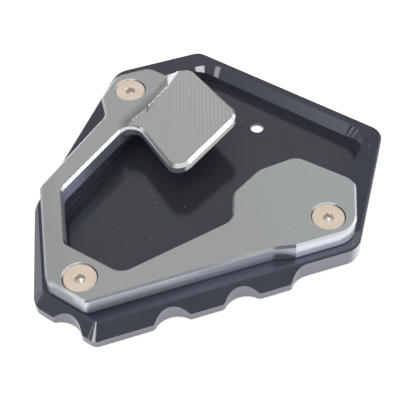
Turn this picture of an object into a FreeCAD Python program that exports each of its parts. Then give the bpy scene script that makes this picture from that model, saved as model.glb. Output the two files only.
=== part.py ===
import FreeCAD, Part
import math
import os

# Kickstand foot enlarger. A pocketed base lies on the ground and takes the
# stand's foot, and a clamp plate with a raised tab is screwed down over it.
# X runs along the scalloped front edge, Y to the back, Z up. Millimetres.

Vector = FreeCAD.Vector
UP = Vector(0, 0, 1)


# Driving sizes of the base. Its length and width are taken over the corners of
# its outline before they are rounded, from the left corner and the front wall
base_length = 125.8
base_width = 105.4
base_height = 7.0
floor_thickness = 1.1
pocket_bevel = 3.0
rim_corners = (6.0, 9.5)
rim_ends = (3.3, 3.4)
edge_bevel = 4.2
front_inset = 3.3
inset_length = 14.9
inset_corner = 6.8
scallop_radius = 7.0
scallop_depth = 2.7
scallop_pitch = 21.7
scallop_corner = 1.4
drain_diameter = 4.5
bottom_break = 0.4
front_corner_inset = 30.5
drain_inset = (36.9, 38.2)
corner_scallop_x = -54.2
corner_scallop_inset = 5.5

# Driving sizes of the clamp plate
plate_thickness = 6.0
plate_chamfer = 0.7
tab_thickness = 3.2
tab_chamfer = 1.0
groove_radius = 4.0

# Driving sizes of the screws, metric 5 with a countersunk head and hex socket
thread_diameter = 5.0
thread_gap = 0.05
hole_gap = 0.25
head_diameter = 10.0
head_recess = 0.25
head_break = 0.25
seat_rim_gap = 0.3
seat_lead_in = 0.6
seat_gap = 0.02
tip_chamfer = 0.6
socket_width = 3.0
socket_depth = 2.2
socket_turn = 20
socket_mouth = 0.15
screw_length = 12.0

# Places of the screws: the rear one is set in from the back, the left one from
# the front, and the right one from the right corner and the front
rear_screw_x = -7.6
rear_screw_inset = 17.3
left_screw_x = -43.5
left_screw_inset = 16.6
right_screw_inset = (34.5, 13.3)

# Levels and radii that follow from them
base_top = base_height
plate_top = base_height + plate_thickness
thread_radius = thread_diameter / 2
head_radius = head_diameter / 2
seat_radius = head_radius + seat_rim_gap

# Four lines that the corners are placed from. A longer base moves what lies at
# its right, and a wider one moves what lies at its back
left = -58.1
right = left + base_length
front = -28.9
back = front + base_width
front_corner_x = right - front_corner_inset

screw_places = {
    "screw_rear": (rear_screw_x, back - rear_screw_inset),
    "screw_front_left": (left_screw_x, front + left_screw_inset),
    "screw_front_right": (right - right_screw_inset[0], front + right_screw_inset[1]),
}
drain_place = (right - drain_inset[0], back - drain_inset[1])
corner_scallop = (corner_scallop_x, front + corner_scallop_inset)


# Outlines: every corner is x, y and the radius that rounds it, anticlockwise
wall_outline = [
    (-44.6, front, 3.0),
    (front_corner_x, front, 0.0),
    (right, back - 59.2, 5.5),
    (23.0, back, 5.0),
    (-8.0, back, 7.0),
    (-49.7, back - 52.3, 10.0),
    (left, front + 18.5, 5.0),
]
land_outline = [
    (-42.6, front + 3.95, 1.5),
    (right - 28.8, front + 3.95, 6.4),
    (right - 0.75, back - 59.25, 4.9),
    (22.7, back - 0.6, 4.4),
    (-7.7, back - 0.6, 6.4),
    (-48.5, back - 51.7, 9.0),
    (left + 3.5, front + 20.2, 2.0),
]
pocket_outline = [
    (-31.9, front + 12.8, 6.0),
    (right - 23.1, front + 28.6, 6.0),
    (right - 6.8, back - 61.0, 8.0),
    (18.45, back - 3.5, 11.0),
    (-41.2, back - 53.3, 5.0),
    (left + 12.6, front + 30.0, 5.0),
]
tab_outline = [
    (-11.2, back - 31.3, 4.5),
    (-4.9, back - 61.0, 4.5),
    (22.2, back - 44.8, 6.0),
    (14.2, back - 16.8, 2.5),
    (6.4, back - 14.25, 2.0),
]
plate_outline = [
    (-44.4, front + 7.5, 2.5),
    (right - 55.0, front + 7.5, 8.0),
    (right - 48.0, front + 5.9, 0.0),
    (right - 28.3, front + 5.9, 8.0),
    (right - 20.4, front + 24.2, 5.0),
    (right - 34.0, front + 40.2, 5.0),
    (right - 47.2, front + 38.9, 6.0),
    (right - 58.3, front + 32.5, 3.0),
    (right - 62.4, front + 22.3, 5.0),
    (-31.8, front + 14.6, 5.0),
    (-44.4, front + 30.6, 3.0),
    (-40.3, back - 53.6, 4.0),
    *tab_outline,
    (1.9, back - 8.4, 5.0),
    (-10.0, back - 8.4, 4.0),
    (-17.9, back - 17.4, 3.0),
    (-18.8, back - 26.1, 4.0),
    (-46.6, back - 49.8, 4.0),
    (left + 4.9, front + 19.3, 4.0),
]

# The tab: its top is a plane given by one height and two slopes, its groove
# follows a straight line along the ear, and its underside starts at another
tab_height_at = (-3.5, back - 57.8, 1.45)
tab_slope_x = 0.108
tab_slope_y = -0.015
groove_line = ((-12.8, back - 32.5), (5.4, back - 15.3))
undercut_line = ((-14.5, back - 34.3), (9.0, back - 14.5))
relief_points = ((6.5, back - 14.5, 0.2), (11.1, back - 16.0, 2.45), (4.8, back - 21.5, 1.8))


def tangent_points(before, corner, after):
    """Where a rounded corner leaves its two sides, and the middle of its arc."""
    point = Vector(corner[0], corner[1], 0)
    back = (Vector(before[0], before[1], 0) - point).normalize()
    ahead = (Vector(after[0], after[1], 0) - point).normalize()
    half = back.getAngle(ahead) / 2
    reach = corner[2] / math.tan(half)
    middle = (back + ahead).normalize() * (corner[2] / math.sin(half) - corner[2])
    return point + back * reach, point + middle, point + ahead * reach


def outline_wire(corners, level):
    """Closed wire of straight sides and arcs at one height."""
    rise = UP * level
    edges = []
    count = len(corners)
    rounds = [tangent_points(corners[i - 1], corners[i], corners[(i + 1) % count]) for i in range(count)]
    for i in range(count):
        start, middle, end = rounds[i]
        if corners[i][2] > 0:
            edges.append(Part.Arc(start + rise, middle + rise, end + rise).toShape())
        edges.append(Part.makeLine(end + rise, rounds[(i + 1) % count][0] + rise))
    return Part.Wire(edges)


def prism(corners, low, high):
    """Outline swept straight up from one height to another."""
    return Part.Face(outline_wire(corners, low)).extrude(UP * (high - low))


def moved_sides(corners, shift):
    """The same outline with every side moved outwards, and its corners rounder."""
    count = len(corners)
    lines = []
    for i in range(count):
        start = Vector(corners[i][0], corners[i][1], 0)
        along = (Vector(corners[(i + 1) % count][0], corners[(i + 1) % count][1], 0) - start).normalize()
        outwards = Vector(along.y, -along.x, 0)
        lines.append((start + outwards * shift, along))
    result = []
    for i in range(count):
        first, first_way = lines[i - 1]
        second, second_way = lines[i]
        cross = first_way.x * second_way.y - first_way.y * second_way.x
        gap = second - first
        step = (gap.x * second_way.y - gap.y * second_way.x) / cross
        point = first + first_way * step
        result.append((point.x, point.y, corners[i][2] + shift))
    return result


def flared(corners, level, shift, other_level):
    """Solid from an outline to its moved copy at another height, with conical corners."""
    other = outline_wire(moved_sides(corners, shift), other_level)
    return Part.makeLoft([outline_wire(corners, level), other], True, True)


def upright(x, y, radius, low, high):
    """Vertical cylinder."""
    return Part.makeCylinder(radius, high - low, Vector(x, y, low))


def start_and_way(line):
    """First point of a line on the drawing, and its direction."""
    start = Vector(line[0][0], line[0][1], 0)
    return start, (Vector(line[1][0], line[1][1], 0) - start).normalize()


def side_of_line(line, low, high):
    """Block on the right of a directed line, as wide and long as the base."""
    start, way = start_and_way(line)
    start = start + UP * low
    across = Vector(way.y, -way.x, 0) * base_length
    first = start - way * base_length
    last = start + way * base_length
    face = Part.Face(Part.makePolygon([first, last, last + across, first + across, first]))
    return face.extrude(UP * (high - low))


# Base: upright walls with scallops along the front, and a 45 degree bevel
# that falls away from the flat land on which the clamp plate sits
def upright_edges(shape, chosen):
    """Full-height upright edges whose place passes the given test."""
    found = []
    for edge in shape.Edges:
        ends = [v.Point for v in edge.Vertexes]
        if len(ends) == 2 and abs(ends[0].z - ends[1].z) > base_top - 0.01:
            if chosen(Vector(ends[0].x, ends[0].y, 0)):
                found.append(edge)
    return found


def make_walls():
    entry_x = front_corner_x - inset_length
    inset_y = front + front_inset
    centres = [Vector(entry_x, inset_y - scallop_radius, 0)]
    centres.append(Vector(corner_scallop[0], corner_scallop[1], 0))
    row_y = front - scallop_radius + scallop_depth
    row_x = entry_x - scallop_pitch
    while row_x - scallop_radius - scallop_corner > wall_outline[0][0]:
        centres.append(Vector(row_x, row_y, 0))
        row_x = row_x - scallop_pitch
    cutters = [upright(c.x, c.y, scallop_radius, 0, base_top) for c in centres]
    inset_corner_point = Vector(entry_x, front - scallop_radius, 0)
    cutters.append(Part.makeBox(base_length, scallop_radius + front_inset, base_top, inset_corner_point))
    walls = prism(wall_outline, 0, base_top).cut(cutters).removeSplitter().Solids[0]

    def at_scallop_end(spot):
        on_scallop = any(abs((spot - c).Length - scallop_radius) < 0.01 for c in centres)
        return on_scallop and abs(spot.x - entry_x) > 0.01

    walls = walls.makeFillet(scallop_corner, upright_edges(walls, at_scallop_end))
    start, way = start_and_way((wall_outline[1][:2], wall_outline[2][:2]))
    inset_end = start + way * (front_inset / way.y)
    last = upright_edges(walls, lambda spot: (spot - inset_end).Length < 0.01)
    return walls.makeFillet(inset_corner, last)


def make_rim_cutter():
    """Bevel along the right side of the pocket, which runs out at its two corners."""
    front_corner, right_corner, back_corner, left_corner = [Vector(x, y, 0) for x, y, r in pocket_outline[1:5]]
    ahead = (back_corner - right_corner).normalize()
    first = right_corner + ahead * rim_ends[0]
    last = back_corner - ahead * rim_ends[1]
    inner_last = last + (left_corner - back_corner).normalize() * rim_corners[1] * 2.5
    inner_first = first + (front_corner - right_corner).normalize() * rim_corners[0] * 2.5
    spots = ((first, rim_corners[0]), (last, rim_corners[1]), (inner_last, 1.0), (inner_first, 1.0))
    path = [(spot.x, spot.y, radius) for spot, radius in spots]
    return flared(path, base_top - pocket_bevel, pocket_bevel + 1, base_top + 1)


def make_base():
    walls = make_walls()
    bottom = [e for e in walls.Edges if all(v.Z < 0.01 for v in e.Vertexes)]
    walls = walls.makeChamfer(bottom_break, bottom)
    bevel_end = base_top - edge_bevel
    skirt = flared(moved_sides(land_outline, -1), base_top + 1, edge_bevel + 1, bevel_end)
    margin = base_height
    corner = Vector(left - margin, front - margin, 0)
    below = Part.makeBox(base_length + 2 * margin, base_width + 2 * margin, bevel_end, corner)
    body = walls.common(skirt.fuse(below))

    # Pocket for the stand's foot, with a bevel at its open side
    body = body.cut(prism(pocket_outline, floor_thickness, base_top + 1))
    body = body.cut(make_rim_cutter())

    holes = [upright(drain_place[0], drain_place[1], drain_diameter / 2, -1, base_top)]
    for x, y in screw_places.values():
        holes.append(upright(x, y, thread_radius, -1, base_top + 1))
    return body.cut(holes)


# Clamp plate: a flat C, with an ear and a tab that rises out of its level
def tab_level(x, y):
    x0, y0, height = tab_height_at
    return plate_top + height + tab_slope_x * (x - x0) + tab_slope_y * (y - y0)


def tilted_face(lower):
    """Face parallel to the tab's top, so much lower, that reaches past the tab."""
    xs = [corner[0] for corner in tab_outline]
    ys = [corner[1] for corner in tab_outline]
    x0, x1 = min(xs) - base_height, max(xs) + base_height
    y0, y1 = min(ys) - base_height, max(ys) + base_height
    corners = [(x0, y0), (x1, y0), (x1, y1), (x0, y1), (x0, y0)]
    return Part.Face(Part.makePolygon([Vector(x, y, tab_level(x, y) - lower) for x, y in corners]))


def at_tab(shape):
    """The one solid of a shape that lies at the tab's corner."""
    spot = Part.Vertex(tab_height_at[0], tab_height_at[1], plate_top)
    return min(shape.Solids, key=lambda solid: solid.distToShape(spot)[0])


def make_tab():
    zone = side_of_line(groove_line, base_top, plate_top + base_top)
    slab = tilted_face(tab_thickness).extrude(UP * tab_thickness)
    tab = at_tab(prism(plate_outline, base_top, plate_top + base_top).common([zone]).common([slab]))
    start, way = start_and_way(groove_line)
    rim = []
    for edge in tab.Edges:
        spot = edge.valueAt((edge.FirstParameter + edge.LastParameter) / 2)
        on_top = abs(spot.z - tab_level(spot.x, spot.y)) < 0.01
        from_groove = abs((spot.x - start.x) * way.y - (spot.y - start.y) * way.x)
        if on_top and from_groove > 0.01:
            rim.append(edge)
    tab = tab.makeChamfer(tab_chamfer, rim)

    # Ball-ended groove between the ear and the tab
    groove_start = start - way * base_length / 2 + UP * (plate_top + groove_radius)
    tab = tab.cut(Part.makeCylinder(groove_radius, base_length, groove_start, way))

    # Sloping relief at the back end of the groove
    facet = [Vector(x, y, plate_top + z) for x, y, z in relief_points]
    centre = (facet[0] + facet[1] + facet[2]) / 3
    spread = [centre + (p - centre) * 6 for p in facet]
    relief = Part.Face(Part.makePolygon(spread + [spread[0]])).extrude(UP * plate_top)
    return tab.cut(relief)


def make_clamp_plate():
    plate = prism(plate_outline, base_top, plate_top)
    rim = [e for e in plate.Edges if all(abs(v.Z - plate_top) < 0.01 for v in e.Vertexes)]
    plate = plate.makeChamfer(plate_chamfer, rim)
    overhang = at_tab(plate.common(side_of_line(undercut_line, 0, plate_top)))
    below_tab = tilted_face(tab_thickness).extrude(UP * -plate_top)
    plate = plate.cut(overhang.common(below_tab)).fuse(make_tab()).removeSplitter()
    for x, y in screw_places.values():
        plate = plate.cut(screw_seat(x, y))
    return plate


def turned(points, x, y):
    """Profile of radius and height turned about the upright axis at x, y."""
    profile = [Vector(x + r, y, z) for r, z in points]
    face = Part.Face(Part.makePolygon(profile + [profile[0]]))
    return face.revolve(Vector(x, y, 0), UP, 360)


def screw_seat(x, y):
    """Clearance hole with a conical seat and a short straight mouth."""
    hole_radius = thread_radius + hole_gap
    lead = plate_top - seat_lead_in
    profile = [
        (0, base_top - 1),
        (hole_radius, base_top - 1),
        (hole_radius, lead - (seat_radius - hole_radius)),
        (seat_radius, lead),
        (seat_radius, plate_top + 1),
        (0, plate_top + 1),
    ]
    return turned(profile, x, y)


# Screws: the head's cone rests in the seat's cone
def make_screw(x, y):
    shank_radius = thread_radius - thread_gap
    top = plate_top - head_recess
    tip = top - screw_length
    cone_top = plate_top - seat_lead_in - seat_rim_gap + seat_gap
    profile = [
        (0, tip),
        (shank_radius - tip_chamfer, tip),
        (shank_radius, tip + tip_chamfer),
        (shank_radius, cone_top - (head_radius - shank_radius)),
        (head_radius, cone_top),
        (head_radius, top - head_break),
        (head_radius - head_break, top),
        (0, top),
    ]
    screw = turned(profile, x, y)

    # Hexagonal socket with a drilled bottom and a bevelled mouth
    reach = socket_width / math.sqrt(3)
    turns = [math.radians(60 * k + socket_turn) for k in range(6)]
    corners = [Vector(x + reach * math.cos(a), y + reach * math.sin(a), top) for a in turns]
    socket = Part.Face(Part.makePolygon(corners + [corners[0]])).extrude(UP * -socket_depth)
    drill_depth = socket_width / 4
    drill_point = Vector(x, y, top - socket_depth - drill_depth)
    drill = Part.makeCone(0, socket_width / 2, drill_depth, drill_point)
    mouth_radius = reach + socket_mouth
    mouth_depth = mouth_radius - socket_width / 2
    mouth = Part.makeCone(socket_width / 2, mouth_radius, mouth_depth, Vector(x, y, top - mouth_depth))
    return screw.cut([socket, drill, mouth])


base = make_base()
pieces = {"base_plate": base, "clamp_plate": make_clamp_plate()}
for name, (x, y) in screw_places.items():
    pieces[name] = make_screw(x, y)

# The origin stands on the ground under the middle of the base
middle = base.optimalBoundingBox(False, False).Center
os.makedirs("parts", exist_ok=True)
for name, shape in pieces.items():
    shape.translate(Vector(-middle.x, -middle.y, 0))
    shape.exportStep("parts/" + name + ".step")
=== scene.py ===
import math

import bpy
from mathutils import Matrix, Vector

# Kickstand foot enlarger: the finish of the milled plates and their screws,
# on a pale floor. Metres, in the same frame as the solids.

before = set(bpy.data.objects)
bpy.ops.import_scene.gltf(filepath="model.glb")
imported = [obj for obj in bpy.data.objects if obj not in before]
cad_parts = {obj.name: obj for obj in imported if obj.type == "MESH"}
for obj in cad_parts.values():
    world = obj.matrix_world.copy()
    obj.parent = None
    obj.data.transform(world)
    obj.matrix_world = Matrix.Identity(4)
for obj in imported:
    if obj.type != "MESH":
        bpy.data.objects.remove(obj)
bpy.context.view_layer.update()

MM = 0.001
WHITE = (1.0, 1.0, 1.0)


# Camera: the photograph's viewpoint, worked out from the outlines of the plates
CAMERA_AIM = Vector((-4.39, -23.8, 13.0)) * MM
CAMERA_DISTANCE = 307.7 * MM
CAMERA_ELEVATION = math.radians(49.38)
CAMERA_TURN = math.radians(17.7)
CAMERA_ROLL = math.radians(-1.74)
NEAREST_SEEN = 10.0 * MM
FOCAL_PIXELS = 1007.04
PICTURE_PIXELS = 416
SENSOR_WIDTH = 36.0


def place_camera():
    """Camera that looks at its aim from the photograph's viewpoint."""
    level = math.cos(CAMERA_ELEVATION)
    rise = math.sin(CAMERA_ELEVATION)
    back = Vector((-math.sin(CAMERA_TURN) * level, -math.cos(CAMERA_TURN) * level, rise))
    right = Vector((0, 0, 1)).cross(back).normalized()
    up = back.cross(right)
    turned_right = right * math.cos(CAMERA_ROLL) + up * math.sin(CAMERA_ROLL)
    turned_up = up * math.cos(CAMERA_ROLL) - right * math.sin(CAMERA_ROLL)
    data = bpy.data.cameras.new("camera")
    data.sensor_width = SENSOR_WIDTH
    data.lens = FOCAL_PIXELS / PICTURE_PIXELS * SENSOR_WIDTH
    data.clip_start = NEAREST_SEEN
    camera = bpy.data.objects.new("camera", data)
    camera.matrix_world = Matrix((turned_right, turned_up, back)).transposed().to_4x4()
    camera.location = CAMERA_AIM + back * CAMERA_DISTANCE
    bpy.context.scene.collection.objects.link(camera)
    bpy.context.scene.camera = camera


# Light: a pale room with two soft boxes. Places and sides are in metres,
# and a brightness of 1 is white.
HIGH_BOX = {"place": (-0.26, -0.2, 0.94), "sides": (0.5, 0.4), "brightness": 1.5}
RIGHT_BOX = {"place": (0.789, -0.335, 0.515), "sides": (0.27, 0.17), "brightness": 3.0}


def soft_box(name, place, sides, brightness):
    """Oblong lamp that faces the object."""
    data = bpy.data.lights.new(name, "AREA")
    data.shape = "RECTANGLE"
    data.size = sides[0]
    data.size_y = sides[1]
    data.energy = brightness * math.pi * sides[0] * sides[1]
    lamp = bpy.data.objects.new(name, data)
    lamp.location = place
    lamp.rotation_euler = (-Vector(place)).to_track_quat("-Z", "Y").to_euler()
    bpy.context.scene.collection.objects.link(lamp)


# Nodes in short form
def give(tree, value, socket):
    """Links an input to another node's socket, or sets it to a plain value."""
    if isinstance(value, bpy.types.NodeSocket):
        tree.links.new(value, socket)
    else:
        socket.default_value = value


def add(tree, kind, inputs=None, **settings):
    """New node with its settings. Inputs are sockets to link or plain values."""
    node = tree.nodes.new(kind)
    for name, value in settings.items():
        setattr(node, name, value)
    for key, value in (inputs or {}).items():
        give(tree, value, node.inputs[key])
    return node


def maths(tree, operation, first, second=0.0, clamp=False):
    """Result of one operation on two values."""
    inputs = {0: first, 1: second}
    return add(tree, "ShaderNodeMath", inputs, operation=operation, use_clamp=clamp).outputs[0]


def between(tree, value, low, high, to_low=0.0, to_high=1.0):
    """Smooth change of a value from one range to another."""
    inputs = {"Value": value, "From Min": low, "From Max": high, "To Min": to_low, "To Max": to_high}
    return add(tree, "ShaderNodeMapRange", inputs, interpolation_type="SMOOTHSTEP").outputs[0]


def opaque(colour):
    """Colour of three parts with full cover. A socket stays as it is."""
    return colour if isinstance(colour, bpy.types.NodeSocket) else (*colour, 1.0)


def mixed(tree, share, first, second):
    """Colour that goes from the first to the second with the share."""
    inputs = {0: share, 6: opaque(first), 7: opaque(second)}
    return add(tree, "ShaderNodeMix", inputs, data_type="RGBA").outputs[2]


def new_group(name, inputs, outputs):
    """Shader node group with named inputs (name, kind, value) and outputs (name, kind)."""
    tree = bpy.data.node_groups.new(name, "ShaderNodeTree")
    for label, kind, value in inputs:
        socket = tree.interface.new_socket(label, in_out="INPUT", socket_type=kind)
        if value is not None:
            socket.default_value = value
    for label, kind in outputs:
        tree.interface.new_socket(label, in_out="OUTPUT", socket_type=kind)
    return tree, tree.nodes.new("NodeGroupInput"), tree.nodes.new("NodeGroupOutput")


FLOAT = "NodeSocketFloat"
VECTOR = "NodeSocketVector"

# Noise runs from 0 to 1. A range says how sharply it is cut into patches.
MID_NOISE = 0.5
SOFT = (0.3, 0.7)
CLEAR = (0.35, 0.65)
SHARP = (0.4, 0.6)
# Waves per millimetre in the waver of a cutter's lines, and smoothness of worn edges
WAVER_SCALE = 0.15
EDGE_SAMPLES = 6


def grain_group():
    """Fine blasted grain and broader cloudiness, in millimetre units."""
    tree, start, end = new_group(
        "grain",
        [("Vector", VECTOR, None), ("Grain Size", FLOAT, 0.3), ("Cloud Size", FLOAT, 12.0)],
        [("Grain", FLOAT), ("Cloud", FLOAT)],
    )
    for label, size, detail in (("Grain", "Grain Size", 3.0), ("Cloud", "Cloud Size", 2.0)):
        scale = maths(tree, "DIVIDE", 1.0, start.outputs[size])
        inputs = {"Vector": start.outputs["Vector"], "Scale": scale, "Detail": detail}
        noise = add(tree, "ShaderNodeTexNoise", inputs)
        tree.links.new(noise.outputs[0], end.inputs[label])
    return tree


def tool_lines_group():
    """Parallel lines left by a cutter, at a spacing in millimetres and a turn in radians."""
    tree, start, end = new_group(
        "tool_lines",
        [("Vector", VECTOR, None), ("Spacing", FLOAT, 1.0), ("Turn", FLOAT, 0.0), ("Waver", FLOAT, 0.3)],
        [("Lines", FLOAT)],
    )
    parts = add(tree, "ShaderNodeSeparateXYZ", {0: start.outputs["Vector"]})
    turn = start.outputs["Turn"]
    along = maths(tree, "MULTIPLY", parts.outputs["X"], maths(tree, "COSINE", turn))
    across = maths(tree, "MULTIPLY", parts.outputs["Y"], maths(tree, "SINE", turn))
    distance = maths(tree, "ADD", along, across)
    inputs = {"Vector": start.outputs["Vector"], "Scale": WAVER_SCALE, "Detail": 1.0}
    noise = add(tree, "ShaderNodeTexNoise", inputs).outputs[0]
    waver = maths(tree, "SUBTRACT", noise, MID_NOISE)
    waver = maths(tree, "MULTIPLY", waver, start.outputs["Waver"])
    place = maths(tree, "DIVIDE", maths(tree, "ADD", distance, waver), start.outputs["Spacing"])
    wave = maths(tree, "SINE", maths(tree, "MULTIPLY", place, math.tau))
    tree.links.new(between(tree, wave, -1.0, 1.0), end.inputs["Lines"])
    return tree


def specks_group():
    """Sparse dust specks: only a few cells of the pattern hold one."""
    tree, start, end = new_group(
        "dust_specks",
        [("Vector", VECTOR, None), ("Cell", FLOAT, 3.0), ("Size", FLOAT, 0.1), ("Share", FLOAT, 0.1)],
        [("Specks", FLOAT)],
    )
    scale = maths(tree, "DIVIDE", 1.0, start.outputs["Cell"])
    inputs = {"Vector": start.outputs["Vector"], "Scale": scale}
    cells = add(tree, "ShaderNodeTexVoronoi", inputs, voronoi_dimensions="2D")
    tone = add(tree, "ShaderNodeSeparateColor", {0: cells.outputs["Color"]})
    chosen = maths(tree, "LESS_THAN", tone.outputs[0], start.outputs["Share"])
    reach = maths(tree, "MULTIPLY", tone.outputs[1], scale)
    reach = maths(tree, "MULTIPLY", start.outputs["Size"], reach)
    near = maths(tree, "LESS_THAN", cells.outputs["Distance"], reach)
    tree.links.new(maths(tree, "MULTIPLY", chosen, near), end.inputs["Specks"])
    return tree


def edge_group():
    """Rounded normal at the edges, and a mask of where it departs from the face."""
    tree, start, end = new_group(
        "edge_break",
        [("Radius", FLOAT, 0.1 * MM), ("Reach", FLOAT, 0.15)],
        [("Normal", VECTOR), ("Edge", FLOAT)],
    )
    bevel = add(tree, "ShaderNodeBevel", {"Radius": start.outputs["Radius"]}, samples=EDGE_SAMPLES)
    face = add(tree, "ShaderNodeNewGeometry")
    inputs = {0: bevel.outputs[0], 1: face.outputs["Normal"]}
    dot = add(tree, "ShaderNodeVectorMath", inputs, operation="DOT_PRODUCT")
    apart = maths(tree, "SUBTRACT", 1.0, dot.outputs["Value"])
    inputs = {"Value": apart, "From Min": 0.0, "From Max": start.outputs["Reach"]}
    edge = add(tree, "ShaderNodeMapRange", inputs, clamp=True)
    tree.links.new(bevel.outputs[0], end.inputs["Normal"])
    tree.links.new(edge.outputs[0], end.inputs["Edge"])
    return tree


GRAIN = grain_group()
TOOL_LINES = tool_lines_group()
SPECKS = specks_group()
EDGE = edge_group()


# Lines on the plan of the clamp plate, in millimetres: the middle of the groove,
# its ridge and the left side of the relief
GROOVE_LINE = ((-17.2, 20.2), (1.0, 37.4))
RIDGE_LINE = ((-15.9, 20.3), (0.1, 30.8))
RELIEF_LINE = ((0.1, 30.8), (1.9, 37.9))

# Screws, with the azimuth in degrees at which the seat of each is lit
SCREWS = {"screw_rear": 93.0, "screw_front_left": 113.0, "screw_front_right": 84.0}
# Radii round a screw's middle, in millimetres: where the painted lit crescent ends on the plate and on
# the screw, and where the painted dark ring of shade on the screw begins
PLATE_CRESCENT = 5.7
SCREW_CRESCENT = 6.0
SCREW_RING = 4.5
# Width of a crescent's soft rim, and how far towards the light a crescent begins
CRESCENT_BLUR = 0.2
LIT_SIDE = (3.4, 4.6)
# Square of a distance that is beyond every screw
FAR_OFF = 1000.0


def middle_of(screw):
    """Middle of a screw on the plan, in millimetres, from its solid."""
    spots = [vertex.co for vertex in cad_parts[screw].data.vertices]
    middle = []
    for axis in range(2):
        steps = [spot[axis] for spot in spots]
        middle.append((min(steps) + max(steps)) / 2 / MM)
    return middle


class Finish:
    """A material under work: its tree, its shader, its place in millimetres and its face direction."""

    def __init__(self, name):
        self.material = bpy.data.materials.new(name)
        self.material.use_nodes = True
        self.tree = self.material.node_tree
        self.shader = self.tree.nodes["Principled BSDF"]
        spot = add(self.tree, "ShaderNodeTexCoord")
        inputs = {0: spot.outputs["Object"], 3: 1 / MM}
        self.place = add(self.tree, "ShaderNodeVectorMath", inputs, operation="SCALE").outputs[0]
        axes = add(self.tree, "ShaderNodeSeparateXYZ", {0: self.place})
        self.x, self.y, self.z = axes.outputs
        facing = add(self.tree, "ShaderNodeSeparateXYZ", {0: spot.outputs["Normal"]})
        self.facing_up = facing.outputs["Z"]
        self.facing_front = self.maths("MULTIPLY", facing.outputs["Y"], -1.0)
        self.facing_left = self.maths("MULTIPLY", facing.outputs["X"], -1.0)
        # How much a face looks up or down, and how far out a wall lies on the side that it faces
        self.levelness = self.maths("ABSOLUTE", self.facing_up)
        aside = self.maths("MULTIPLY", self.x, facing.outputs["X"])
        self.outwards = self.maths("ADD", aside, self.maths("MULTIPLY", self.y, facing.outputs["Y"]))

    def maths(self, operation, first, second=0.0, clamp=False):
        return maths(self.tree, operation, first, second, clamp)

    def between(self, value, low, high, to_low=0.0, to_high=1.0):
        return between(self.tree, value, low, high, to_low, to_high)

    def mixed(self, share, first, second):
        return mixed(self.tree, share, first, second)

    def squared(self, value):
        return self.maths("MULTIPLY", value, value)

    def all_of(self, *masks):
        """Mask of what all the masks share. A plain number among them thins it."""
        total = masks[0]
        for mask in masks[1:]:
            total = self.maths("MULTIPLY", total, mask)
        return total

    def any_of(self, first, second):
        """Mask of what either mask covers."""
        return self.maths("MAXIMUM", first, second)

    def not_in(self, mask):
        """Mask of what another one leaves."""
        return self.maths("SUBTRACT", 1.0, mask)

    def at(self, place):
        """Mask of a place, which names measures of this class, each with its range."""
        masks = [self.between(getattr(self, name), *limits) for name, limits in place.items()]
        return self.all_of(*masks)

    def beside(self, line):
        """How far a spot lies to the right of a line on the plan, in millimetres."""
        (x0, y0), (x1, y1) = line
        reach = math.hypot(x1 - x0, y1 - y0)
        first = self.maths("MULTIPLY", self.maths("SUBTRACT", self.x, x0), (y1 - y0) / reach)
        second = self.maths("MULTIPLY", self.maths("SUBTRACT", self.y, y0), (x1 - x0) / reach)
        return self.maths("SUBTRACT", first, second)

    def within(self, line, far, near):
        """1 near a line on the plan, 0 beyond the far distance."""
        return self.between(self.maths("ABSOLUTE", self.beside(line)), far, near)

    def from_screw(self, screw):
        """Steps along X and Y from a screw's middle, and the square of the distance."""
        x0, y0 = middle_of(screw)
        along_x = self.maths("SUBTRACT", self.x, x0)
        along_y = self.maths("SUBTRACT", self.y, y0)
        square = self.maths("ADD", self.squared(along_x), self.squared(along_y))
        return along_x, along_y, square

    def beyond_seats(self, radius):
        """1 outside the circle of a radius round the nearest screw."""
        least = FAR_OFF
        for screw in SCREWS:
            square = self.from_screw(screw)[2]
            least = self.maths("MINIMUM", square, least)
        return self.maths("GREATER_THAN", least, radius * radius)

    def crescents(self, radius):
        """1 in the lit side of the circle of a radius round each screw."""
        total = 0.0
        for screw, azimuth in SCREWS.items():
            along_x, along_y, square = self.from_screw(screw)
            inside = self.between(square, radius * radius, (radius - CRESCENT_BLUR) ** 2)
            to_x = self.maths("MULTIPLY", along_x, math.cos(math.radians(azimuth)))
            to_y = self.maths("MULTIPLY", along_y, math.sin(math.radians(azimuth)))
            lit = self.between(self.maths("ADD", to_x, to_y), *LIT_SIDE)
            total = self.any_of(total, self.all_of(inside, lit))
        return total

    def turned(self, azimuth, far, near):
        """1 where a slope of 45 degrees looks along an azimuth, 0 beyond the far angle, in degrees."""
        first = self.maths("MULTIPLY", self.facing_left, -math.sin(math.radians(azimuth)))
        second = self.maths("MULTIPLY", self.facing_front, math.cos(math.radians(azimuth)))
        apart = self.maths("ABSOLUTE", self.maths("ADD", first, second))
        low, high = (math.sin(math.radians(angle)) / math.sqrt(2) for angle in (far, near))
        return self.between(apart, low, high)

    def use(self, group, **values):
        """Places a shared group; the names of its inputs are given with underscores."""
        node = add(self.tree, "ShaderNodeGroup", node_tree=group)
        for name, value in values.items():
            give(self.tree, value, node.inputs[name.replace("_", " ")])
        return node.outputs

    def noise(self, scale, detail):
        """Noise at a scale in waves per millimetre."""
        inputs = {"Vector": self.place, "Scale": scale, "Detail": detail}
        return add(self.tree, "ShaderNodeTexNoise", inputs).outputs[0]

    def feed(self, socket, value):
        give(self.tree, value, self.shader.inputs[socket])

    def bump(self, height, distance, normal):
        inputs = {"Height": height, "Distance": distance, "Strength": 1.0, "Normal": normal}
        self.feed("Normal", add(self.tree, "ShaderNodeBump", inputs).outputs[0])


# Places on the plates. A range says where a mask starts and where it is full: in
# millimetres, or as the share by which a face looks up, left or forward. Walls of
# both plates are upright.
UPRIGHT = {"levelness": (0.35, 0.1)}
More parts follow.
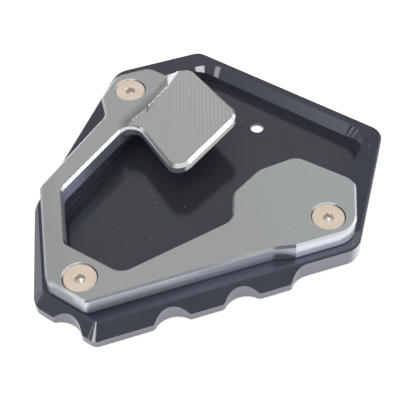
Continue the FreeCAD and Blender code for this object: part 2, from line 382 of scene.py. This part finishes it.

# Base plate: its level faces get lighter to the back, and along the front land a painted reflection makes
# them lighter from the left to the middle and right
BASE_BACK = {"y": (-45.0, 40.0)}
LEVEL_FRONT_TONE = (0.062, 0.067, 0.093)
LEVEL_BACK_TONE = (0.08, 0.084, 0.108)
LAND = {"facing_up": (0.85, 0.95), "y": (-43.0, -44.0)}
LAND_MIDDLE = {"x": (-48.0, 4.0)}
LAND_RIGHT = {"x": (10.0, 14.0)}
LAND_LEFT_REFLECTION_TONE = (0.08, 0.088, 0.122)
LAND_MIDDLE_REFLECTION_TONE = (0.2, 0.213, 0.27)
LAND_RIGHT_REFLECTION_TONE = (0.185, 0.195, 0.25)
POCKET_FLOOR = {"z": (1.3, 1.05)}
POCKET_FLOOR_TONE = (0.07, 0.074, 0.093)

# Base plate: its walls are painted lighter than its level faces as painted reflection, and lighter
# outside, where they mirror the white floor, than in the pocket
BASE_OUTSIDE = {"outwards": (-2.0, 2.0)}
BASE_OUTSIDE_FRONT = {"y": (-44.0, -45.0)}
BASE_OUTSIDE_LEFT = {"x": (-51.0, -52.0)}
POCKET_WALL_REFLECTION_TONE = (0.19, 0.198, 0.26)
OUTSIDE_WALL_REFLECTION_TONE = (0.285, 0.292, 0.335)
# Painted highlight on the wall at the front right corner
FRONT_CORNER_HIGHLIGHT = {"x": (30.5, 32.0), "y": (-46.0, -47.5), "facing_left": (-0.12, -0.6)}
FRONT_CORNER_HIGHLIGHT_TONE = (0.66, 0.66, 0.68)

# Base plate: clouds, dark grain, light edges and dust, each with its strength
BASE_CLOUD = 0.12
BASE_CLOUD_TONE = (0.13, 0.135, 0.165)
BASE_GRAIN = 0.22
BASE_GRAIN_TONE = (0.055, 0.057, 0.075)
ABOVE_POCKET_EDGE = {"z": (1.9, 2.4)}
BASE_EDGE = 0.18
BASE_EDGE_TONE = (0.5, 0.5, 0.56)
BASE_DUST_TONE = (0.36, 0.36, 0.35)
# Base plate: how metallic it is in the open and in the pocket, and its gloss
BASE_METAL = (0.7, 0.4)
BASE_ROUGHNESS = (0.12, 0.16)
BASE_GRAIN_DEPTH = 0.0003 * MM

# Base plate: its bevels, by side
BEVEL_LOWEST = {"facing_up": (0.55, 0.65)}
BEVEL_HIGHEST = {"facing_up": (0.85, 0.75)}
BEVEL_SIDES = {
    "front": {"y": (-44.0, -45.0)},
    "back": {"y": (36.0, 37.0)},
    "right": {"x": (50.0, 52.0)},
    "left": {"x": (-56.0, -57.0)},
}
# The bevel along the pocket's right side, with a painted sheen where it looks along a turn, lighter to
# the right. A turn is the azimuth that a slope looks along, then the angle off it at which the mask ends
# and that at which it is full.
RIM = {"x": (8.0, 14.0)}
RIM_TURN = (-146.0, 20.0, 8.0)
RIM_RIGHT = {"x": (22.0, 60.0)}
RIM_LEFT_SHEEN_TONE = (0.092, 0.098, 0.13)
RIM_RIGHT_SHEEN_TONE = (0.165, 0.175, 0.225)
# The upper edge of the front bevel, and the bevel at the front left with painted light on it
CREST = {"z": (6.55, 6.85)}
CREST_SHARE = 0.3
CREST_TONE = (0.17, 0.18, 0.22)
LEFT_BEVEL = {"facing_left": (0.6, 0.68), "x": (-44.0, -46.0)}
LEFT_BEVEL_LIGHT_TONE = (0.14, 0.137, 0.175)
# Painted reflection streaks, light and dark, on the conical corners of the bevels: side, turn and tone
REFLECTION_STREAKS = (
    ("right", (-152.0, 3.5, 1.0), (0.06, 0.0624, 0.075)),
    ("right", (-158.0, 3.5, 1.0), (0.2, 0.208, 0.25)),
    ("right", (-165.0, 3.5, 1.0), (0.07, 0.0728, 0.0875)),
    ("right", (-171.0, 3.5, 1.0), (0.19, 0.1976, 0.2375)),
    ("left", (-164.0, 6.0, 1.0), (0.17, 0.175, 0.2)),
    ("front", (-121.0, 9.0, 1.0), (0.72, 0.73, 0.75)),
    ("front", (-137.5, 5.0, 1.0), (0.2, 0.21, 0.24)),
    ("back", (-128.5, 7.0, 2.0), (0.5, 0.51, 0.55)),
)
# Painted white glint on the bevel at the back
BACK_GLINT_TURN = (-97.5, 9.5, 5.5)


def base_level_faces(look, in_pocket):
    """Colour of the base plate's level faces, with painted reflection along the front land."""
    colour = look.mixed(look.at(BASE_BACK), LEVEL_FRONT_TONE, LEVEL_BACK_TONE)
    # Painted reflection on the front land, lighter from the left to the middle and right
    land_reflection = look.mixed(look.at(LAND_MIDDLE), LAND_LEFT_REFLECTION_TONE, LAND_MIDDLE_REFLECTION_TONE)
    land_reflection = look.mixed(look.at(LAND_RIGHT), land_reflection, LAND_RIGHT_REFLECTION_TONE)
    colour = look.mixed(look.at(LAND), colour, land_reflection)
    return look.mixed(in_pocket, colour, POCKET_FLOOR_TONE)


def base_walls(look):
    """Colour of the base plate's side-milled walls, painted lighter as painted reflection, most outside,
    with a painted highlight at the front right corner.
    """
    outside = look.any_of(look.at(BASE_OUTSIDE), look.at(BASE_OUTSIDE_FRONT))
    outside = look.any_of(outside, look.at(BASE_OUTSIDE_LEFT))
    # Painted reflection: walls lighter than the level faces, most outside where they mirror the floor
    colour = look.mixed(outside, POCKET_WALL_REFLECTION_TONE, OUTSIDE_WALL_REFLECTION_TONE)
    # Painted highlight on the wall at the front right corner
    return look.mixed(look.at(FRONT_CORNER_HIGHLIGHT), colour, FRONT_CORNER_HIGHLIGHT_TONE)


def base_bevels(look, colour):
    """Colour with the base plate's bevels added, with painted sheen and light, painted reflection streaks
    and a painted glint at the back, and the mask of that glint.
    """
    sloped = look.all_of(look.at(BEVEL_LOWEST), look.at(BEVEL_HIGHEST))
    sides = {side: look.all_of(sloped, look.at(place)) for side, place in BEVEL_SIDES.items()}
    # Painted sheen on the bevel along the pocket's right side, lighter to the right
    rim_sheen = look.all_of(sloped, look.at(RIM), look.turned(*RIM_TURN))
    colour = look.mixed(rim_sheen, colour, look.mixed(look.at(RIM_RIGHT), RIM_LEFT_SHEEN_TONE, RIM_RIGHT_SHEEN_TONE))
    crest = look.all_of(sides["front"], look.at(CREST), CREST_SHARE)
    colour = look.mixed(crest, colour, CREST_TONE)
    # Painted light on the bevel at the front left
    colour = look.mixed(look.all_of(sloped, look.at(LEFT_BEVEL)), colour, LEFT_BEVEL_LIGHT_TONE)
    # Painted reflection streaks on the conical corners of the bevels
    for side, turn, tone in REFLECTION_STREAKS:
        reflection_streak = look.all_of(sides[side], look.turned(*turn))
        colour = look.mixed(reflection_streak, colour, tone)
    # Painted white glint on the bevel at the back
    glint = look.all_of(sides["back"], look.turned(*BACK_GLINT_TURN))
    return look.mixed(glint, colour, WHITE), glint


def dark_anodised():
    """Base plate: glossy dark grey anodising, with painted reflection on its walls and front land and
    painted highlights and sheen on its bevels.
    """
    look = Finish("dark_anodised")
    grain = look.use(GRAIN, Vector=look.place, Grain_Size=0.45, Cloud_Size=14.0)
    specks = look.use(SPECKS, Vector=look.place, Cell=2.8, Size=0.17, Share=0.12)
    edge = look.use(EDGE, Radius=0.1 * MM, Reach=0.12)
    upright = look.at(UPRIGHT)
    not_upright = look.not_in(upright)
    in_pocket = look.at(POCKET_FLOOR)

    colour = look.mixed(upright, base_level_faces(look, in_pocket), base_walls(look))
    cloud = look.between(grain["Cloud"], *SOFT, 0.0, BASE_CLOUD)
    colour = look.mixed(cloud, colour, BASE_CLOUD_TONE)
    speckled = look.all_of(look.between(grain["Grain"], *CLEAR, 0.0, BASE_GRAIN), not_upright)
    colour = look.mixed(speckled, colour, BASE_GRAIN_TONE)
    convex = look.all_of(edge["Edge"], look.at(ABOVE_POCKET_EDGE), BASE_EDGE)
    colour = look.mixed(convex, colour, BASE_EDGE_TONE)
    colour, glint = base_bevels(look, colour)
    dust = look.all_of(specks["Specks"], not_upright)
    look.feed("Base Color", look.mixed(dust, colour, BASE_DUST_TONE))

    metal = look.between(in_pocket, 0.0, 1.0, *BASE_METAL)
    look.feed("Metallic", look.maths("SUBTRACT", metal, look.any_of(dust, glint), clamp=True))
    look.feed("Roughness", look.between(grain["Grain"], *SOFT, *BASE_ROUGHNESS))
    look.bump(grain["Grain"], BASE_GRAIN_DEPTH, edge["Normal"])
    return look.material


# Clamp plate: its blasted top
CLAMP_CLOUD = (0.35, 0.7)
CLAMP_CLOUD_SHARE = 0.1
TOP_TONE = (0.52, 0.54, 0.538)
TOP_CLOUD_TONE = (0.58, 0.6, 0.595)
TOP_RIGHT = {"x": (-5.0, 40.0)}
TOP_RIGHT_SHARE = 0.8
TOP_RIGHT_TONE = (0.56, 0.59, 0.597)
TOP_GRAIN = 0.4
TOP_GRAIN_TONE = (0.36, 0.37, 0.37)
TOP_LEFT = {"x": (-43.0, -52.0)}
TOP_LEFT_TONE = (0.45, 0.46, 0.465)
CLAMP_DUST_TONE = (0.85, 0.83, 0.72)

# Clamp plate: how metallic it is on its faces and on its outer walls, its gloss where
# it is cut and where it is blasted, and the depth of its grain and of the tab's lines
CLAMP_METAL = (0.85, 0.5)
CLAMP_ROUGHNESS = (0.15, 0.42)
TAB_SMOOTHER = 0.1
GROOVE_ROUGHER = 0.2
GRAIN_ROUGHNESS = (-0.02, 0.02)
CLAMP_DEPTH = 0.006 * MM
GRAIN_SHARE = 0.2
LINES_SHARE = 0.4

# Clamp plate: its outer walls. The front one is darker at the foot and in the jog: painted reflection
# darkens it low down and in the middle, with a painted shadow at the foot and painted shade in the jog;
# walls that face left get painted shade
CLAMP_OUTSIDE = {"outwards": (26.0, 32.0)}
WALL_LOW = {"z": (11.4, 8.4)}
WALL_DARKER = {"x": (-24.0, -4.0)}
WALL_DARKER_SHARE = 0.55
FRONT_WALL = {"facing_front": (0.8, 0.95), "x": (16.0, 14.0)}
LEFT_WALL = {"facing_left": (0.3, 0.75)}
CLAMP_WALL_TONE = (0.84, 0.9, 1.0)
WALL_LOW_REFLECTION_TONE = (0.36, 0.4, 0.47)
LEFT_WALL_SHADE_TONE = (0.62, 0.66, 0.74)
INNER_WALL_TONE = (0.72, 0.77, 0.86)
# The jog's wall gets painted shade, darkest under an arch low in its middle
JOG = {"facing_left": (0.08, 0.2), "x": (6.0, 10.0)}
JOG_MIDDLE_X = 9.5
JOG_ARCH = 0.06
JOG_ARCH_Z = (10.8, 9.6)
JOG_HIGH_SHADE_TONE = (0.45, 0.49, 0.56)
JOG_LOW_SHADE_TONE = (0.155, 0.17, 0.21)
# Painted shadow line at the foot of the walls, where they stand on the base plate
WALL_FOOT_SHADOW = {"z": (7.8, 7.35), "facing_front": (0.3, 0.8)}
WALL_FOOT_SHADOW_SHARE = 0.85
WALL_FOOT_SHADOW_TONE = (0.06, 0.07, 0.09)

# Clamp plate: the inner wall of its left arm, painted lit to the left and shaded to the right, and a
# painted highlight on the upper edge of the walls that face the pocket, on the tab and along the arm
ARM_WALL = {"facing_left": (-0.4, -0.5), "x": (-20.0, -23.0)}
ARM_RIGHT = {"x": (-40.5, -30.5)}
ARM_LEFT_LIT_TONE = (0.49, 0.54, 0.7)
ARM_RIGHT_SHADED_TONE = (0.23, 0.26, 0.32)
ARM_DULLING = 0.55
# Painted highlight along the upper edge of the walls that face the pocket
EDGE_HIGHLIGHT = {
    "z": (11.75, 11.95),
    "outwards": (10.0, 6.0),
    "facing_front": (0.4, 0.5),
    "facing_left": (0.0, -0.2),
}

# Clamp plate: its tab and the chamfers cut after blasting; the chamfers' bright cut colour gets painted
# shade and light by the side each faces
FLAT = {"levelness": (0.955, 0.975)}
RAISED = {"z": (13.05, 13.35)}
LINES_SHOWN = (0.4, 1.0)
LINES_STRONGER_X = (-8.0, 8.0)
LINES_STRENGTH = (0.45, 1.0)
TAB_TONE = (0.507, 0.532, 0.522)
TAB_LINE_TONE = (0.585, 0.61, 0.6)
CHAMFER = {"levelness": (0.84, 0.8)}
FRONT_CHAMFER = {"facing_front": (0.52, 0.66), "y": (-38.0, -40.0)}
FRONT_MIDDLE = {"x": (-16.0, 2.0)}
FRONT_RIGHT = {"x": (13.0, 16.0)}
FRONT_LEFT_SHADE_TONE = (0.38, 0.395, 0.43)
FRONT_MIDDLE_SHADE_TONE = (0.55, 0.58, 0.61)
FRONT_RIGHT_TONE = (0.92, 0.96, 1.0)
JOG_CHAMFER = {"facing_left": (0.08, 0.12), "x": (7.5, 10.5)}
JOG_CHAMFER_SHADE_TONE = (0.22, 0.22, 0.26)
LEFT_CHAMFER = {"facing_left": (0.42, 0.66)}
LEFT_FRONT = {"y": (-37.0, -41.0)}
LEFT_BACK_SHADE_TONE = (0.36, 0.385, 0.42)
LEFT_FRONT_LIT_TONE = (0.66, 0.7, 0.73)
TAB_LEFT_SHADE_TONE = (0.21, 0.217, 0.227)
BRIGHT_CUT_TONE = (0.98, 0.99, 1.0)
RIGHT_CHAMFER = {"facing_left": (-0.58, -0.66)}
RIGHT_END = {"x": (25.0, 30.0)}
RIGHT_NEAR_SHADE_TONE = (0.14, 0.15, 0.17)
RIGHT_END_SHADE_TONE = (0.5, 0.54, 0.6)
# Painted white highlight on the chamfer round the bend between the arm and the tab
BEND_LEFT = {"x": (-24.0, -18.0)}
BEND_HIGHLIGHT_SHARE = 0.9
BEND_RIGHT = {"x": (-12.0, -13.0)}
BEND_BACK = {"y": (13.5, 16.0)}

# Clamp plate: the groove between tab and ear, its ridge and its relief
PLATE_TOP = {"z": (12.9, 13.0)}
GROOVE_REACH = (5.2, 4.4)
NOT_FLAT = {"levelness": (0.985, 0.965)}
GROOVE_TONE = (0.2, 0.192, 0.188)
GROOVE_CLOUD_TONE = (0.3, 0.295, 0.29)
RUN_OUT_REACH = (5.0, 0.8)
RUN_OUT = {"x": (-22.0, -17.0), "z": (13.5, 13.2)}
RUN_OUT_SIDE = (0.4, 0.0)
RUN_OUT_SHARE = 0.75
RUN_OUT_TONE = (0.23, 0.22, 0.215)
RELIEF_SIDE = (-0.1, 0.2)
RELIEF_TONE = (0.95, 0.97, 1.0)
RIDGE_JAGS = {"scale": 0.9, "detail": 2.0}
RIDGE_DASHES = {"scale": 1.3, "detail": 0.0}
RIDGE_STRAY = 2.2
RIDGE_WIDTH = (0.5, 0.15)
RIDGE_GAPS = (0.4, 0.55)
RIDGE_RIGHT_END = {"x": (0.6, 0.2)}
RIDGE_LEFT_END = {"x": (-17.2, -15.5)}
RIDGE_SPARKLE_TONE = (0.95, 0.97, 0.98)


def clamp_top(look, grain):
    """Colour of the clamp plate's blasted top."""
    cloud = look.between(grain["Cloud"], *CLAMP_CLOUD, 0.0, CLAMP_CLOUD_SHARE)
    colour = look.mixed(cloud, TOP_TONE, TOP_CLOUD_TONE)
    colour = look.mixed(look.all_of(look.at(TOP_RIGHT), TOP_RIGHT_SHARE), colour, TOP_RIGHT_TONE)
    speckled = look.between(grain["Grain"], *CLEAR, 0.0, TOP_GRAIN)
    colour = look.mixed(speckled, colour, TOP_GRAIN_TONE)
    return look.mixed(look.at(TOP_LEFT), colour, TOP_LEFT_TONE)


def clamp_outer_walls(look):
    """Colour of the clamp plate's outer walls: painted reflection makes the front darker where it mirrors
    the base plate, painted shade lies on the walls that face left and in the jog, and a painted shadow at
    the foot.
    """
    # Painted reflection of the base plate: the front wall darker low down and in the middle
    darker = look.all_of(look.at(WALL_DARKER), WALL_DARKER_SHARE)
    low = look.all_of(look.any_of(look.at(WALL_LOW), darker), look.at(FRONT_WALL))
    colour = look.mixed(low, CLAMP_WALL_TONE, WALL_LOW_REFLECTION_TONE)
    # Painted shade on the walls that face left
    colour = look.mixed(look.at(LEFT_WALL), colour, LEFT_WALL_SHADE_TONE)
    # Painted shade in the jog's hollow, darkest under an arch low in its middle
    aside = look.maths("SUBTRACT", look.x, JOG_MIDDLE_X)
    arch = look.maths("ADD", look.z, look.maths("MULTIPLY", look.squared(aside), JOG_ARCH))
    jog_shade = look.mixed(look.between(arch, *JOG_ARCH_Z), JOG_HIGH_SHADE_TONE, JOG_LOW_SHADE_TONE)
    colour = look.mixed(look.at(JOG), colour, jog_shade)
    # Painted shadow line at the foot of the walls
    return look.mixed(look.all_of(look.at(WALL_FOOT_SHADOW), WALL_FOOT_SHADOW_SHARE), colour, WALL_FOOT_SHADOW_TONE)


def clamp_chamfers(look, colour, chamfer, raised):
    """Colour with the clamp plate's chamfers added, with painted shade and light by the side they face,
    those to the front painted darker.
    """
    to_front = look.at(FRONT_CHAMFER)
    # Painted shade on the front chamfers: darkest to the left and at the jog, bright to the right
    front = look.mixed(look.at(FRONT_MIDDLE), FRONT_LEFT_SHADE_TONE, FRONT_MIDDLE_SHADE_TONE)
    front = look.mixed(look.at(FRONT_RIGHT), front, FRONT_RIGHT_TONE)
    front = look.mixed(look.at(JOG_CHAMFER), front, JOG_CHAMFER_SHADE_TONE)
    colour = look.mixed(look.all_of(chamfer, to_front), colour, front)
    # Painted shade on the chamfers that face left and right, lighter towards the front on the left and
    # towards the end on the right, dark on the tab's left side
    left = look.mixed(look.at(LEFT_FRONT), LEFT_BACK_SHADE_TONE, LEFT_FRONT_LIT_TONE)
    left = look.mixed(raised, left, TAB_LEFT_SHADE_TONE)
    right = look.mixed(look.at(RIGHT_END), RIGHT_NEAR_SHADE_TONE, RIGHT_END_SHADE_TONE)
    others = look.mixed(look.at(LEFT_CHAMFER), BRIGHT_CUT_TONE, left)
    others = look.mixed(look.at(RIGHT_CHAMFER), others, right)
    return look.mixed(look.all_of(chamfer, look.not_in(to_front)), colour, others)


def tab_groove(look, colour, grain):
    """Colour with the darker groove, its run-out, relief and burred ridge with painted highlight sparkle,
    and the groove's mask.
    """
    on_top = look.at(PLATE_TOP)
    groove = look.all_of(look.within(GROOVE_LINE, *GROOVE_REACH), on_top, look.at(NOT_FLAT))
    shade = look.mixed(look.between(grain["Cloud"], *SHARP), GROOVE_TONE, GROOVE_CLOUD_TONE)
    colour = look.mixed(groove, colour, shade)
    beside_ridge = look.beside(RIDGE_LINE)
    run_out = look.all_of(look.within(RIDGE_LINE, *RUN_OUT_REACH), look.at(RUN_OUT), on_top)
    run_out = look.all_of(run_out, look.between(beside_ridge, *RUN_OUT_SIDE), RUN_OUT_SHARE)
    colour = look.mixed(run_out, colour, RUN_OUT_TONE)
    relief = look.all_of(groove, look.between(look.beside(RELIEF_LINE), *RELIEF_SIDE))
    colour = look.mixed(relief, colour, RELIEF_TONE)
    # Painted highlight sparkle in dashes along the burred ridge
    jagged = look.maths("SUBTRACT", look.noise(**RIDGE_JAGS), MID_NOISE)
    stray = look.maths("MULTIPLY", jagged, RIDGE_STRAY)
    ridge = look.maths("ABSOLUTE", look.maths("ADD", beside_ridge, stray))
    dashes = look.between(look.noise(**RIDGE_DASHES), *RIDGE_GAPS)
    sparkle = look.all_of(look.between(ridge, *RIDGE_WIDTH), dashes, on_top)
    sparkle = look.all_of(sparkle, look.at(RIDGE_RIGHT_END), look.at(RIDGE_LEFT_END))
    return look.mixed(sparkle, colour, RIDGE_SPARKLE_TONE), groove


def titanium_anodised():
    """Clamp plate: blasted titanium grey, with most chamfers, the tab and its groove cut afterwards."""
    look = Finish("titanium_anodised")
    grain = look.use(GRAIN, Vector=look.place, Grain_Size=0.42, Cloud_Size=18.0)
    edge = look.use(EDGE, Radius=0.1 * MM, Reach=0.12)
    lines = look.use(TOOL_LINES, Vector=look.place, Spacing=1.25, Turn=math.radians(-18), Waver=0.12)
    specks = look.use(SPECKS, Vector=look.place, Cell=5.0, Size=0.24, Share=0.07)
    flat = look.at(FLAT)
    upright = look.at(UPRIGHT)
    raised = look.at(RAISED)
    outside = look.at(CLAMP_OUTSIDE)
    tab = look.all_of(raised, flat)
    chamfer = look.maths("SUBTRACT", look.at(CHAMFER), upright, clamp=True)

    walls = look.mixed(outside, INNER_WALL_TONE, clamp_outer_walls(look))
    colour = look.mixed(upright, clamp_top(look, grain), walls)
    arm = look.all_of(upright, look.not_in(outside), look.at(ARM_WALL))
    # Painted light and shade on the inner wall of the left arm: lit to the left, shaded to the right
    colour = look.mixed(arm, colour, look.mixed(look.at(ARM_RIGHT), ARM_LEFT_LIT_TONE, ARM_RIGHT_SHADED_TONE))
    # Painted white highlight on the upper edge of the walls that face the pocket
    edge_highlight = look.all_of(upright, look.at(EDGE_HIGHLIGHT))
    colour = look.mixed(edge_highlight, colour, WHITE)
    stronger = look.between(look.x, *LINES_STRONGER_X, *LINES_STRENGTH)
    shown = look.all_of(look.between(lines["Lines"], *LINES_SHOWN), stronger)
    colour = look.mixed(tab, colour, look.mixed(shown, TAB_TONE, TAB_LINE_TONE))
    colour = clamp_chamfers(look, colour, chamfer, raised)
    # Painted white highlight on the chamfer round the bend between the arm and the tab
    bend_highlight = look.all_of(look.at(BEND_LEFT), BEND_HIGHLIGHT_SHARE, look.at(BEND_RIGHT), chamfer, look.at(BEND_BACK))
    colour = look.mixed(bend_highlight, colour, WHITE)
    # Painted highlight: lit crescents on the plate round the screw seats
    colour = look.mixed(look.crescents(PLATE_CRESCENT), colour, WHITE)
    colour, groove = tab_groove(look, colour, grain)
    dust = look.all_of(specks["Specks"], flat)
    look.feed("Base Color", look.mixed(dust, colour, CLAMP_DUST_TONE))

    metal = look.between(look.all_of(upright, outside), 0.0, 1.0, *CLAMP_METAL)
    metal = look.maths("SUBTRACT", metal, look.all_of(arm, ARM_DULLING))
    look.feed("Metallic", look.maths("SUBTRACT", metal, look.any_of(edge_highlight, bend_highlight), clamp=True))
    rough = look.between(flat, 0.0, 1.0, *CLAMP_ROUGHNESS)
    rough = look.maths("SUBTRACT", rough, look.all_of(tab, TAB_SMOOTHER))
    rough = look.maths("ADD", rough, look.all_of(groove, GROOVE_ROUGHER))
    rough = look.maths("ADD", rough, look.between(grain["Grain"], *SOFT, *GRAIN_ROUGHNESS))
    look.feed("Roughness", rough)
    blasted = look.all_of(grain["Grain"], flat, GRAIN_SHARE)
    height = look.maths("ADD", blasted, look.all_of(lines["Lines"], LINES_SHARE, tab))
    look.bump(height, CLAMP_DEPTH, edge["Normal"])
    return look.material


# Screws: head, seat and socket by height, painted shade and lit crescents at the seats, and a painted
# highlight on the edges of the heads
STEEL_TONE = (0.95, 0.77, 0.62)
STEEL_CLOUD_TONE = (1.0, 0.84, 0.7)
BELOW_HEAD_TOP = {"z": (12.6, 12.4)}
BELOW_HEAD_TOP_TONE = (0.72, 0.68, 0.64)
SOCKET_BOTTOM = {"z": (10.9, 10.7)}
SOCKET_BOTTOM_TONE = (0.95, 0.92, 0.88)
HEAD_CONE = {"z": (12.52, 12.46)}
HEAD_CONE_SHADE_TONE = (0.05, 0.05, 0.055)
HEAD_EDGE = {"z": (12.4, 12.55)}
HEAD_EDGE_SHARE = 0.6
HEAD_EDGE_HIGHLIGHT_TONE = (1.0, 0.98, 0.96)
SCREW_METAL = 0.5
SCREW_ROUGHNESS = (0.2, 0.24)
SCREW_GRAIN_DEPTH = 0.0004 * MM


def screw_steel():
    """Screws: turned steel with a warm tint."""
    look = Finish("screw_steel")
    grain = look.use(GRAIN, Vector=look.place, Grain_Size=0.3, Cloud_Size=5.0)
    edge = look.use(EDGE, Radius=0.12 * MM, Reach=0.12)
    colour = look.mixed(look.between(grain["Cloud"], *SOFT), STEEL_TONE, STEEL_CLOUD_TONE)
    colour = look.mixed(look.at(BELOW_HEAD_TOP), colour, BELOW_HEAD_TOP_TONE)
    colour = look.mixed(look.at(SOCKET_BOTTOM), colour, SOCKET_BOTTOM_TONE)
    # Painted shade on the side of each head below its rim, with a painted lit crescent towards the light
    cone = look.all_of(look.at(HEAD_CONE), look.beyond_seats(SCREW_RING))
    seat_shade_and_glint = look.mixed(look.crescents(SCREW_CRESCENT), HEAD_CONE_SHADE_TONE, WHITE)
    colour = look.mixed(cone, colour, seat_shade_and_glint)
    # Painted highlight on the edges of the heads
    convex = look.all_of(edge["Edge"], look.at(HEAD_EDGE), HEAD_EDGE_SHARE)
    look.feed("Base Color", look.mixed(convex, colour, HEAD_EDGE_HIGHLIGHT_TONE))
    look.feed("Metallic", SCREW_METAL)
    look.feed("Roughness", look.between(grain["Grain"], *SOFT, *SCREW_ROUGHNESS))
    look.bump(grain["Grain"], SCREW_GRAIN_DEPTH, edge["Normal"])
    return look.material


def dress(node, material):
    """Gives a solid its finish in place of the plain one."""
    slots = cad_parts[node].data.materials
    slots.clear()
    slots.append(material)


# Room: a pale floor, and a world that is white at the horizon and greyer above
FLOOR_REACH = 4.0
FLOOR_Z = -0.2 * MM
FLOOR_TONE = (0.9, 0.9, 0.9)
FLOOR_GLOW = 0.4
FLOOR_GLOW_TO_CAMERA = 1.6
HORIZON_TO_ZENITH = (0.05, 0.7)
SKY_STRENGTH = (1.0, 0.62)


def make_floor():
    """Floor just below the plates, clear from below. Its glow shows only to the camera and in mirrors."""
    sides = ((-1, -1), (1, -1), (1, 1), (-1, 1))
    corners = [(FLOOR_REACH * x, FLOOR_REACH * y, FLOOR_Z) for x, y in sides]
    mesh = bpy.data.meshes.new("floor")
    mesh.from_pydata(corners, [], [(0, 1, 2, 3)])
    floor = bpy.data.objects.new("floor", mesh)
    bpy.context.scene.collection.objects.link(floor)
    material = bpy.data.materials.new("floor_white")
    material.use_nodes = True
    tree = material.node_tree
    shader = tree.nodes["Principled BSDF"]
    shader.inputs["Base Color"].default_value = opaque(FLOOR_TONE)
    shader.inputs["Roughness"].default_value = 1.0
    shader.inputs["Specular IOR Level"].default_value = 0.0
    shader.inputs["Emission Color"].default_value = opaque(WHITE)
    ray = add(tree, "ShaderNodeLightPath").outputs
    mirrored = maths(tree, "MAXIMUM", ray["Is Glossy Ray"], ray["Is Transmission Ray"])
    to_camera = maths(tree, "MULTIPLY", ray["Is Camera Ray"], FLOOR_GLOW_TO_CAMERA)
    seen = maths(tree, "MAXIMUM", to_camera, mirrored)
    give(tree, maths(tree, "MULTIPLY", seen, FLOOR_GLOW), shader.inputs["Emission Strength"])
    side = add(tree, "ShaderNodeNewGeometry")
    give(tree, maths(tree, "SUBTRACT", 1.0, side.outputs["Backfacing"]), shader.inputs["Alpha"])
    mesh.materials.append(material)


def make_world():
    """World that is white at the horizon and greyer above."""
    world = bpy.data.worlds.new("room")
    world.use_nodes = True
    tree = world.node_tree
    spot = add(tree, "ShaderNodeTexCoord")
    axes = add(tree, "ShaderNodeSeparateXYZ", {0: spot.outputs["Generated"]})
    sky = tree.nodes["Background"].inputs
    sky["Color"].default_value = opaque(WHITE)
    give(tree, between(tree, axes.outputs["Z"], *HORIZON_TO_ZENITH, *SKY_STRENGTH), sky["Strength"])
    bpy.context.scene.world = world


bpy.context.scene.view_settings.view_transform = "Standard"
place_camera()
make_world()
make_floor()
soft_box("high_box", **HIGH_BOX)
soft_box("right_box", **RIGHT_BOX)

dress("base_plate", dark_anodised())
dress("clamp_plate", titanium_anodised())
steel = screw_steel()
for screw in SCREWS:
    dress(screw, steel)
